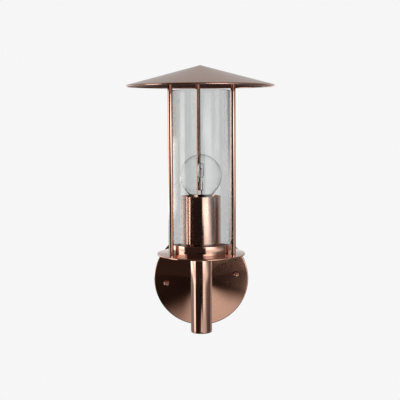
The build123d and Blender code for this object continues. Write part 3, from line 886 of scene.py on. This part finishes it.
@dataclass
class GlassCylinder(SubAssembly):
    """Open glass tube with melted edges."""

    wall: float = 2.6
    edge_rounding: float = 1.1

    def build(self) -> None:
        """Tube of even wall, its two edges melted round."""
        box = Extent.of("glass_cylinder")
        outline = upright_wall(box.lamp_radius, box.lamp_radius - self.wall, box, (self.edge_rounding,) * 4)
        self.turn("glass_cylinder", outline, sides=2 * SIDES)


@dataclass
class Roof(SubAssembly):
    """Conical hat on three rods."""

    sheet: float = 1.2
    tip_radius: float = 5.0
    fold_rounding: float = 1.5
    lip_rounding: float = 0.5
    lip: float = 2.1
    rod_rounding: float = 0.4

    def hat(self) -> None:
        """Spun cone with a soft tip, a soft fold and a short lip."""
        box = Extent.of("hat")
        radius = box.lamp_radius
        fold = box.low.z + self.lip
        slope = atan((box.high.z - fold) / radius)
        down = self.sheet / cos(slope)
        under = box.high.z - down
        inner = radius - self.sheet
        steps = 8
        cap = [(self.tip_radius * sin(slope * i / steps),
                box.high.z - self.tip_radius * (1 / cos(slope) - cos(slope * i / steps)))
               for i in range(steps + 1)]
        rim = rounded([
            (self.tip_radius * sin(slope), cap[-1][1], 0), (radius, fold, self.fold_rounding),
            (radius, box.low.z, self.lip_rounding), (inner, box.low.z, self.lip_rounding),
            (inner, under - inner * tan(slope), self.lip_rounding), (0, under, 0)], closed=False)
        self.turn("hat", cap + rim[1:], closed=False, sides=2 * SIDES)

    def rods(self) -> None:
        """Three drawn rods."""
        for name in RODS:
            box = Extent.of(name)
            radius = (box.high.x - box.low.x) / 2
            outline = rounded([(0, box.low.z, 0), (radius, box.low.z, self.rod_rounding),
                               (radius, box.high.z, self.rod_rounding), (0, box.high.z, 0)], closed=False)
            self.stand_in(turned(name, outline, closed=False, sides=64), name, box.upright)

    def build(self) -> None:
        """Hat and rods, then the bushes as the frame has them."""
        self.hat()
        self.rods()
        self.dress("hat_bushes")


@dataclass
class Thread:
    """Round knuckle thread of a screw cap."""

    pitch: float = 3.63
    depth: float = 0.55
    fade: float = 2.0

    def lift(self, angle: float, height: float, low: float, high: float) -> float:
        """How far the thread stands off its core.

        Args:
            angle: angle round the axis, in radians.
            height: height, in millimetres.
            low: height where the thread starts.
            high: height where it ends.

        Returns:
            Between minus and plus half the thread's depth, faded at both ends.
        """
        ends = min(1.0, max(0.0, (height - low) / self.fade), max(0.0, (high - height) / self.fade))
        return self.depth / 2 * ends * cos(2 * pi * height / self.pitch - angle)


@dataclass
class Lampholder(SubAssembly):
    """Tall cup around a screw lampholder."""

    wall: float = 1.0
    rim_rounding: float = 0.4
    foot_rounding: float = 1.5
    base: float = 1.2
    shell_wall: float = 0.5
    thread: Thread = field(default_factory=Thread)

    def cup(self) -> None:
        """Drawn cup, open at the top."""
        box = Extent.of("lampholder_cup")
        hole = Extent.of("nipple").lamp_radius
        outer, inner = box.lamp_radius, box.lamp_radius - self.wall
        floor = box.low.z + self.base
        outline = rounded([
            (hole, box.low.z, 0), (outer, box.low.z, self.foot_rounding),
            (outer, box.high.z, self.rim_rounding), (inner, box.high.z, self.rim_rounding),
            (inner, floor, self.foot_rounding - self.wall / 2), (hole, floor, 0)])
        self.turn("lampholder_cup", outline, sides=2 * SIDES)

    def screw_shell(self) -> None:
        """Rolled sleeve with the round thread that takes the bulb."""
        box = Extent.of("screw_shell")
        middle = box.lamp_radius - self.shell_wall
        rows = 96
        heights = [box.low.z + (box.high.z - box.low.z) * i / rows for i in range(rows + 1)]
        outer = [(middle + self.shell_wall / 2, height) for height in heights]
        inner = [(middle - self.shell_wall / 2, height) for height in reversed(heights)]

        def threaded(angle: float, radius: float, height: float) -> float:
            """Both skins follow the thread by half its depth."""
            return radius + self.thread.lift(angle, height, box.low.z, box.high.z) / 2

        self.turn("screw_shell", outer + inner, sides=rows, form=threaded)

    def build(self) -> None:
        """Cup and sleeve, then the holder as the frame has it."""
        self.cup()
        self.screw_shell()
        self.dress("holder_dome", "holder_skirt", "contact_block", "centre_contact", "holder_terminals")


@dataclass
class Bulb(SubAssembly):
    """Clear bulb with a halogen capsule in it."""

    skin: float = 0.8
    shoulder: float = 40.0
    neck_gap: float = 0.05
    cap_wall: float = 0.5
    cap_mouth: float = 9.0
    cap_bevel: float = 1.0
    cap_bevel_rise: float = 0.4
    cap_sides: int = 96
    thread: Thread = field(default_factory=Thread)
    thread_start: float = 1.2
    stem_radius: float = 4.0
    stem_foot: float = 0.8
    stem_tip: float = 4.0
    stem_rounding: float = 1.2
    flare_height: float = 9.0
    capsule_wall: float = 0.8
    capsule_taper: float = 0.6
    leg_inset: float = 0.3
    coil_radius: float = 0.55
    coil_wire: float = 0.16
    coil_turns: int = 16

    def glass(self) -> None:
        """Ball on a tapered neck, blown in one with an even skin."""
        box = Extent.of("bulb_glass")
        cap = Extent.of("bulb_cap")
        ball = box.lamp_radius
        centre = box.high.z - ball
        lean = radians(self.shoulder)
        neck = cap.lamp_radius - self.cap_wall - self.neck_gap

        def side(radius: float, throat: float) -> list[Point]:
            """One skin, from the neck up to the top.

            Args:
                radius: radius of the ball.
                throat: radius of the neck.

            Returns:
                Points of radius and height.
            """
            touch = (radius * cos(lean), centre - radius * sin(lean))
            bend = (throat, touch[1] - (touch[0] - throat) / tan(lean))
            curve = rounded([(throat, box.low.z, 0), (*bend, neck), (*touch, 0)], closed=False, steps=16)
            return curve + dome(centre, radius, -lean, 40)[1:]

        outer = side(ball, neck)
        inner = side(ball - self.skin, neck - self.skin)
        self.turn("bulb_glass", inner[::-1] + outer, closed=False)

    def cap(self) -> None:
        """Thin cap with its round thread."""
        box = Extent.of("bulb_cap")
        crest = box.lamp_radius - self.thread.depth / 2
        rows = 84
        low = box.low.z + self.thread_start
        heights = [low + (box.high.z - low) * i / rows for i in range(rows + 1)]
        outer = [(self.cap_mouth, box.low.z), (crest - self.cap_bevel, box.low.z + self.cap_bevel_rise)]
        outer += [(crest, height) for height in heights]
        inner = [(crest - self.cap_wall, height) for height in reversed(heights)]
        inner += [(self.cap_mouth, box.low.z + self.cap_wall)]

        def threaded(angle: float, radius: float, height: float) -> float:
            """Thread on the upright wall only."""
            if radius < crest - self.cap_wall - MARGIN:
                return radius
            return radius + self.thread.lift(angle, height, low, box.high.z)

        self.turn("bulb_cap", outer + inner, sides=self.cap_sides, form=threaded)

    def stem(self) -> None:
        """Glass trumpet in the neck."""
        box = Extent.of("bulb_stem")
        foot = box.lamp_radius
        steps = 10
        flare = [(self.stem_radius + (foot - self.stem_radius) * (1 - sin(pi / 2 * i / steps)),
                  box.low.z + self.stem_foot + self.flare_height * (1 - cos(pi / 2 * i / steps)))
                 for i in range(steps + 1)]
        outline = [(0, box.low.z), (foot, box.low.z)] + flare
        outline += rounded([(self.stem_radius, box.high.z - self.stem_tip, 0),
                            (self.stem_radius, box.high.z, self.stem_rounding), (0, box.high.z, 0)],
                           closed=False)
        self.turn("bulb_stem", outline, closed=False, sides=64)

    def capsule(self) -> None:
        """Quartz tube with a domed top, drawn in to its pinch."""
        box = Extent.of("halogen_capsule")
        outer = box.lamp_radius
        inner = outer - self.capsule_wall
        middle = box.high.z - outer

        def skin(radius: float, foot: float) -> list[Point]:
            """One skin, from the foot up to the top.

            Args:
                radius: radius of the tube.
                foot: height of its foot.

            Returns:
                Points of radius and height.
            """
            taper = radius * self.capsule_taper
            return [(0.0, foot), (taper, foot), (radius, foot + taper), *dome(middle, radius, steps=10)]

        sides = 48
        self.turn("halogen_capsule", skin(outer, box.low.z), closed=False, sides=sides)
        hollow = turned("capsule_hollow", skin(inner, box.low.z + self.capsule_wall), closed=False,
                        sides=sides)
        hollow.flip_normals()
        self.stand_in(hollow, "halogen_capsule", Spindle.LAMP.place(), "capsule_hollow")

    def filament(self) -> None:
        """Two legs and a fine coil across them."""
        box = Extent.of("filament")
        spread = (box.high.x - box.low.x) / 2 - self.leg_inset
        low, high = box.low.z, box.high.z - self.coil_radius
        points = [Vector((-spread, 0, low)), Vector((-spread, 0, (low + high) / 2))]
        turn_steps = 10
        count = self.coil_turns * turn_steps
        for i in range(count + 1):
            angle = 2 * pi * i / turn_steps
            x = -spread + 2 * spread * i / count
            points.append(Vector((x, self.coil_radius * sin(angle),
                                  high - self.coil_radius + self.coil_radius * cos(angle))))
        points += [Vector((spread, 0, (low + high) / 2)), Vector((spread, 0, low))]
        self.stand_in(swept("filament", points, self.coil_wire, 8), "filament", Spindle.LAMP.place())

    def build(self) -> None:
        """Every piece of the bulb."""
        self.glass()
        self.cap()
        self.stem()
        self.capsule()
        self.filament()
        self.dress("cap_insulator", "contact_pip", "support_wires", "capsule_pinch")


# Studio


@dataclass(frozen=True)
class Softbox:
    """Flat studio lamp that faces the light."""

    name: str
    azimuth: float
    height: float
    distance: float
    width: float
    tall: float
    radiance: float

    def build(self, target: Vector) -> None:
        """Hang the lamp.

        Args:
            target: point that it faces, in metres.
        """
        data = bpy.data.lights.new(self.name, "AREA")
        data.shape = "RECTANGLE"
        data.size, data.size_y = self.width, self.tall
        data.energy = self.radiance * pi * self.width * self.tall
        lamp = bpy.data.objects.new(self.name, data)
        bpy.context.scene.collection.objects.link(lamp)
        turn = radians(self.azimuth)
        out = Vector((sin(turn), -cos(turn), 0)) * self.distance
        lamp.location = Vector((target.x, target.y, self.height)) + out
        lamp.visible_glossy = False
        lamp.visible_transmission = False
        lamp.rotation_euler = (-out).to_track_quat("-Z", "Y").to_euler()


@dataclass(frozen=True)
class Band:
    """What reflections see of the room at one elevation, from straight behind round by the left.

    Each stop is a direction from the camera's side, in degrees to the right, and a brightness.
    """

    elevation: float
    stops: tuple[tuple[float, float], ...]


# Stops that several bands share: the strip on the left, the dark in front and the fall on the right.
LEFT_STRIP = ((-112, 0.25), (-90, 0.3), (-83, 1.6), (-69, 1.6), (-65, 0.026))
DARK_GAP = ((-14, 0.02), (-10, 0.0125), (4, 0.0125))
RIGHT_FALL = ((46, 0.5), (62, 0.16), (104, 0.09), (116, 0.25), (180, 0.27))


@dataclass
class Studio:
    """Camera, lamps, world and floor."""

    lens: float = 80.0
    sensor: float = 36.0
    camera_distance: float = 1.163
    camera_height: float = 0.2340
    pitch: float = 5.47
    roll: float = -0.29
    shift: float = -0.86 / 400
    background: str = "#F6F6F6"
    warmth: str = "#FFD8D0"
    warm_level: float = 0.02
    white_level: float = 0.3
    ambient: float = 0.7
    floor_height: float = -0.35
    floor_radius: float = 0.6
    floor_colour: str = "#D8D8D6"
    fade_start: float = 0.3
    fade_end: float = 0.9
    bands: tuple[Band, ...] = (
        Band(-60, ((-180, 0.03), (180, 0.03))),
        Band(-28, ((-180, 0.03), (-20, 0.02), (-13, 0.6), (16, 0.6), (60, 0.3), (110, 0.05), (180, 0.03))),
        Band(-19.5, ((-180, 0.15), (-112, 0.2), (-90, 0.25), (-83, 1.4), (-69, 1.4), (-65, 0.026),
                     (-7, 0.02), (-2, 0.72), (6, 0.72), (12, 0.6), (18, 0.6), (52, 0.5), (66, 0.12),
                     (104, 0.07), (116, 0.2), (180, 0.2))),
        Band(-16.5, ((-180, 0.25), *LEFT_STRIP, (-4, 0.0125), (0, 0.72), (6, 0.6), (9, 0.2), (15, 0.2),
                     (20, 0.6), (34, 0.72), (46, 0.5), (62, 0.14), (104, 0.07), (116, 0.25),
                     (180, 0.25))),
        Band(-14.6, ((-180, 0.27), *LEFT_STRIP, *DARK_GAP, (15, 0.02), (19, 1.0), (34, 1.05), *RIGHT_FALL)),
        Band(-9.5, ((-180, 0.27), *LEFT_STRIP, *DARK_GAP, (16, 0.02), (20, 1.05), (35, 1.05), *RIGHT_FALL)),
        Band(-8.8, ((-180, 0.27), (-112, 0.25), (-100, 0.3), (-94, 1.9), (-65, 1.9), (-62, 0.034),
                    (4, 0.03), (16, 0.03), (21, 1.05), (38, 1.1), (50, 0.55), (66, 0.16), (104, 0.06),
                    (116, 0.2), (180, 0.27))),
        Band(-7.5, ((-180, 1.5), (-125, 2.8), (-100, 1.5), (-82, 0.75), (-63, 0.65), (-61, 0.03),
                    (15, 0.03), (20, 0.72), (40, 0.8), (54, 1.1), (65, 1.0), (79, 0.5), (95, 0.17),
                    (104, 0.15), (116, 0.2), (180, 0.3))),
        Band(-2, ((-180, 0.9), (-125, 0.9), (-112, 0.3), (-91, 0.3), (-88, 2.7), (-66, 2.7), (-63, 0.026),
                  (15, 0.026), (19, 2.1), (37, 2.3), (50, 1.2), (64, 0.12), (104, 0.07), (116, 0.25),
                  (130, 0.6), (180, 0.9))),
        Band(3, ((-180, 0.9), (-125, 0.9), (-112, 0.3), (-92, 0.3), (-89, 2.4), (-64, 2.4), (-60, 0.026),
                 (6, 0.026), (11, 3.0), (36, 3.1), (46, 1.0), (60, 0.12), (104, 0.07), (116, 0.3),
                 (130, 0.6), (180, 0.9))),
        Band(10, ((-180, 0.5), (-112, 0.18), (-96, 0.2), (-88, 0.5), (-56, 0.5), (-52, 0.026), (14, 0.026),
                  (20, 0.5), (40, 0.5), (54, 0.2), (104, 0.1), (116, 0.3), (180, 0.5))),
        Band(28, ((-180, 0.42), (-112, 0.42), (-90, 0.2), (-50, 0.05), (0, 0.026), (40, 0.1), (90, 0.2),
                  (116, 0.44), (180, 0.42))),
        Band(70, ((-180, 0.2), (180, 0.2))),
    )
    lamps: tuple[Softbox, ...] = (
        Softbox("left_strip", -73.5, 0.12, 1.1, 0.56, 1.3, 2.2),
        Softbox("right_softbox", 36.5, 0.25, 1.2, 1.04, 1.0, 1.4),
    )

    def camera(self, axis: Vector) -> None:
        """Camera where the photograph was taken from.

        Args:
            axis: point on the lamp axis, in metres.
        """
        data = bpy.data.cameras.new("camera")
        data.lens, data.sensor_width, data.shift_x = self.lens, self.sensor, self.shift
        camera = bpy.data.objects.new("camera", data)
        bpy.context.scene.collection.objects.link(camera)
        place = Vector((axis.x, axis.y - self.camera_distance, self.camera_height))
        camera.matrix_world = (Matrix.Translation(place) @ Matrix.Rotation(radians(90 - self.pitch), 4, "X")
                               @ Matrix.Rotation(radians(self.roll), 4, "Z"))
        bpy.context.scene.camera = camera

    def room(self, tree: bpy.types.NodeTree) -> bpy.types.NodeSocket:
        """Brightness of the room by direction, as metal and glass reflect it.

        Args:
            tree: node tree of the world.

        Returns:
            Socket with the brightness.
        """
        way = add_node(tree, "ShaderNodeTexCoord")
        parts = add_node(tree, "ShaderNodeSeparateXYZ", {0: way.outputs["Generated"]})
        towards = add_node(tree, "ShaderNodeMath", {0: parts.outputs["Y"], 1: -1.0}, operation="MULTIPLY")
        azimuth = add_node(tree, "ShaderNodeMath", {0: parts.outputs["X"], 1: towards.outputs[0]},
                           operation="ARCTAN2")
        turn = add_node(tree, "ShaderNodeMapRange", {"Value": azimuth.outputs[0], "From Min": -pi,
                                                     "From Max": pi})
        rise = add_node(tree, "ShaderNodeMath", {0: parts.outputs["Z"]}, operation="ARCSINE")
        level = None
        for lower, band in zip((None,) + self.bands, self.bands):
            ramp = add_node(tree, "ShaderNodeValToRGB", {0: turn.outputs[0]})
            stops = ramp.color_ramp.elements
            for i, (degrees, value) in enumerate(band.stops):
                stop = stops[i] if i < 2 else stops.new(1.0)
                stop.position = (degrees + 180) / 360
                stop.color = (value, value, value, 1.0)
            if level is None:
                level = ramp.outputs["Color"]
                continue
            share = add_node(tree, "ShaderNodeMapRange", {
                "Value": rise.outputs[0], "From Min": radians(lower.elevation),
                "From Max": radians(band.elevation)})
            level = add_node(tree, "ShaderNodeMix", {"Factor": share.outputs[0], "A": level,
                                                     "B": ramp.outputs["Color"]},
                             data_type="RGBA").outputs["Result"]
        pale = add_node(tree, "ShaderNodeMapRange", {"Value": level, "From Min": self.warm_level,
                                                     "From Max": self.white_level})
        tint = add_node(tree, "ShaderNodeMix", {"Factor": pale.outputs[0], "A": linear(self.warmth),
                                                "B": (1.0, 1.0, 1.0, 1.0)}, data_type="RGBA")
        return add_node(tree, "ShaderNodeMix", {"Factor": 1.0, "A": level, "B": tint.outputs["Result"]},
                        data_type="RGBA", blend_type="MULTIPLY").outputs["Result"]

    def world(self) -> None:
        """Plain pale background, the room in reflections and even light for matt surfaces."""
        world = bpy.data.worlds.new("studio")
        bpy.context.scene.world = world
        world.use_nodes = True
        world.cycles.sampling_method = "NONE"
        tree = world.node_tree
        tree.nodes.clear()
        path = add_node(tree, "ShaderNodeLightPath")
        mirrored = add_node(tree, "ShaderNodeMath", {0: path.outputs["Glossy Depth"], 1: 0.5},
                            operation="GREATER_THAN")
        seen = add_node(tree, "ShaderNodeMix", {
            "Factor": mirrored.outputs[0], "A": linear(self.background), "B": self.room(tree)},
            data_type="RGBA")
        sharp = add_node(tree, "ShaderNodeMath", {0: path.outputs["Is Camera Ray"],
                                                  1: path.outputs["Is Glossy Ray"]}, operation="ADD")
        direct = add_node(tree, "ShaderNodeMath", {0: sharp.outputs[0],
                                                   1: path.outputs["Is Transmission Ray"]},
                          operation="ADD", use_clamp=True)
        shown = add_node(tree, "ShaderNodeMix", {
            "Factor": direct.outputs[0], "A": (self.ambient,) * 3 + (1.0,), "B": seen.outputs["Result"]},
            data_type="RGBA")
        shade = add_node(tree, "ShaderNodeBackground", {"Color": shown.outputs["Result"]})
        add_node(tree, "ShaderNodeOutputWorld", {"Surface": shade.outputs[0]})

    def floor(self, axis: Vector) -> None:
        """Pale round floor that fades out into the background at its edge.

        Args:
            axis: point on the lamp axis, in metres.
        """
        bm = bmesh.new()
        bmesh.ops.create_circle(bm, cap_ends=True, segments=96, radius=self.floor_radius)
        floor = bpy.data.objects.new("floor", finished(bm, "floor"))
        bpy.context.scene.collection.objects.link(floor)
        floor.location = (axis.x, axis.y, self.floor_height)
        floor.visible_glossy = False
        material = bpy.data.materials.new("pale floor")
        material.use_nodes = True
        tree = material.node_tree
        tree.nodes.clear()
        place = add_node(tree, "ShaderNodeTexCoord")
        away = add_node(tree, "ShaderNodeVectorMath", {0: place.outputs["Object"]}, operation="LENGTH")
        fade = add_node(tree, "ShaderNodeMapRange",
                        {"Value": away.outputs["Value"], "From Min": self.fade_start * self.floor_radius,
                         "From Max": self.fade_end * self.floor_radius}, interpolation_type="SMOOTHSTEP")
        path = add_node(tree, "ShaderNodeLightPath")
        unseen = add_node(tree, "ShaderNodeMath", {0: fade.outputs[0], 1: path.outputs["Is Camera Ray"]},
                          operation="MULTIPLY")
        matt = add_node(tree, "ShaderNodeBsdfDiffuse", {"Color": linear(self.floor_colour)})
        clear = add_node(tree, "ShaderNodeBsdfTransparent")
        mixed = add_node(tree, "ShaderNodeMixShader", {0: unseen.outputs[0], 1: matt.outputs[0],
                                                       2: clear.outputs[0]})
        add_node(tree, "ShaderNodeOutputMaterial", {"Surface": mixed.outputs[0]})
        floor.data.materials.append(material)

    def build(self) -> None:
        """Everything that isn't part of the light."""
        axis = Extent.of("hat").centre * MM
        self.camera(axis)
        self.world()
        self.floor(axis)
        for lamp in self.lamps:
            lamp.build(axis)
        view = bpy.context.scene.view_settings
        view.view_transform = "Standard"


def main() -> None:
    """Build every sub-assembly in order, then the studio."""
    logging.basicConfig(level=logging.INFO, format="%(name)s: %(message)s")
    palette = Palette()
    groups: Iterable[type[SubAssembly]] = (WallPlate, WallFittings, ArmAndPost, Tray, GlassCylinder, Roof,
                                           Lampholder, Bulb)
    for group in groups:
        group(palette).build()
        LOG.info("finished %s", group.__name__)
    Studio().build()


if __name__ == "__main__":
    main()
